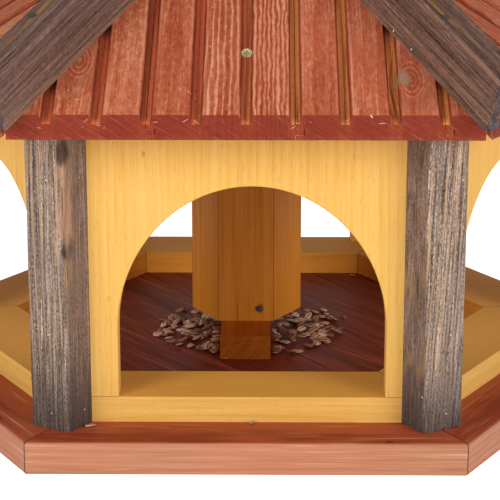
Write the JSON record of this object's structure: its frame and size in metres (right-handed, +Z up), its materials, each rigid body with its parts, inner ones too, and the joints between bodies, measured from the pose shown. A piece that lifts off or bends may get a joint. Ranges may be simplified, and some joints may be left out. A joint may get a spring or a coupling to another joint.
{
  "type": "bird feeder",
  "caption": "Hexagonal wooden bird feeder with arched walls, corner posts, ribbed board roof with hip battens, and a lidded seed hopper.",
  "frame": {"origin": "middle of the base's underside", "axes": "+Z up through the roof's apex, -Y out of the front arch, +X to the right post"},
  "size_m": [0.7422, 0.656, 0.4702],
  "materials": {
    "glazed_wood": "red-brown glaze, satin, grain showing",
    "yellow_wood": "honey-yellow glaze, satin, fine grain",
    "weathered_wood": "grey-brown stain, rough sawn, matt",
    "screw_steel": "zinc-plated"
  },
  "bodies": {
    "feeder": {"base_board_front": "glazed_wood", "base_board_front_right": "glazed_wood", "base_board_back_right": "glazed_wood", "base_board_back": "glazed_wood", "base_board_back_left": "glazed_wood", "base_board_front_left": "glazed_wood", "floor_board_1": "glazed_wood", "floor_board_2": "glazed_wood", "floor_board_3": "glazed_wood", "floor_board_4": "glazed_wood", "floor_board_5": "glazed_wood", "floor_board_6": "glazed_wood", "floor_bearer_front": "glazed_wood", "floor_bearer_back": "glazed_wood", "floor_screws": "screw_steel", "rail_front": "yellow_wood", "rail_front_right": "yellow_wood", "rail_back_right": "yellow_wood", "rail_back": "yellow_wood", "rail_back_left": "yellow_wood", "rail_front_left": "yellow_wood", "arch_wall_front": "yellow_wood", "arch_wall_front_right": "yellow_wood", "arch_wall_back_right": "yellow_wood", "arch_wall_back": "yellow_wood", "arch_wall_back_left": "yellow_wood", "arch_wall_front_left": "yellow_wood", "post_front_right": "weathered_wood", "post_right": "weathered_wood", "post_back_right": "weathered_wood", "post_back_left": "weathered_wood", "post_left": "weathered_wood", "post_front_left": "weathered_wood", "hopper_board_front": "yellow_wood", "hopper_board_front_right": "yellow_wood", "hopper_board_back_right": "yellow_wood", "hopper_board_back": "yellow_wood", "hopper_board_back_left": "yellow_wood", "hopper_board_front_left": "yellow_wood", "hopper_lath": "yellow_wood", "hopper_block": "yellow_wood", "hopper_collar": "yellow_wood", "roof_face_front": "glazed_wood", "roof_face_front_right": "glazed_wood", "roof_face_back_right": "glazed_wood", "roof_face_back": "glazed_wood", "roof_face_back_left": "glazed_wood", "roof_face_front_left": "glazed_wood", "hip_batten_front_right": "weathered_wood", "hip_batten_right": "weathered_wood", "hip_batten_back_right": "weathered_wood", "hip_batten_back_left": "weathered_wood", "hip_batten_left": "weathered_wood", "hip_batten_front_left": "weathered_wood", "nails": "screw_steel", "roof_cleats": "yellow_wood", "roof_screws": "screw_steel"},
    "lid": {"lid": "glazed_wood", "lid_plug": "yellow_wood", "lid_knob": "weathered_wood"}
  },
  "joints": [
    {"name": "lid_lift", "type": "slide", "parent": "feeder", "child": "lid", "axis": [0, 0, 1], "range_m": [0, 0.12]}
  ]
}
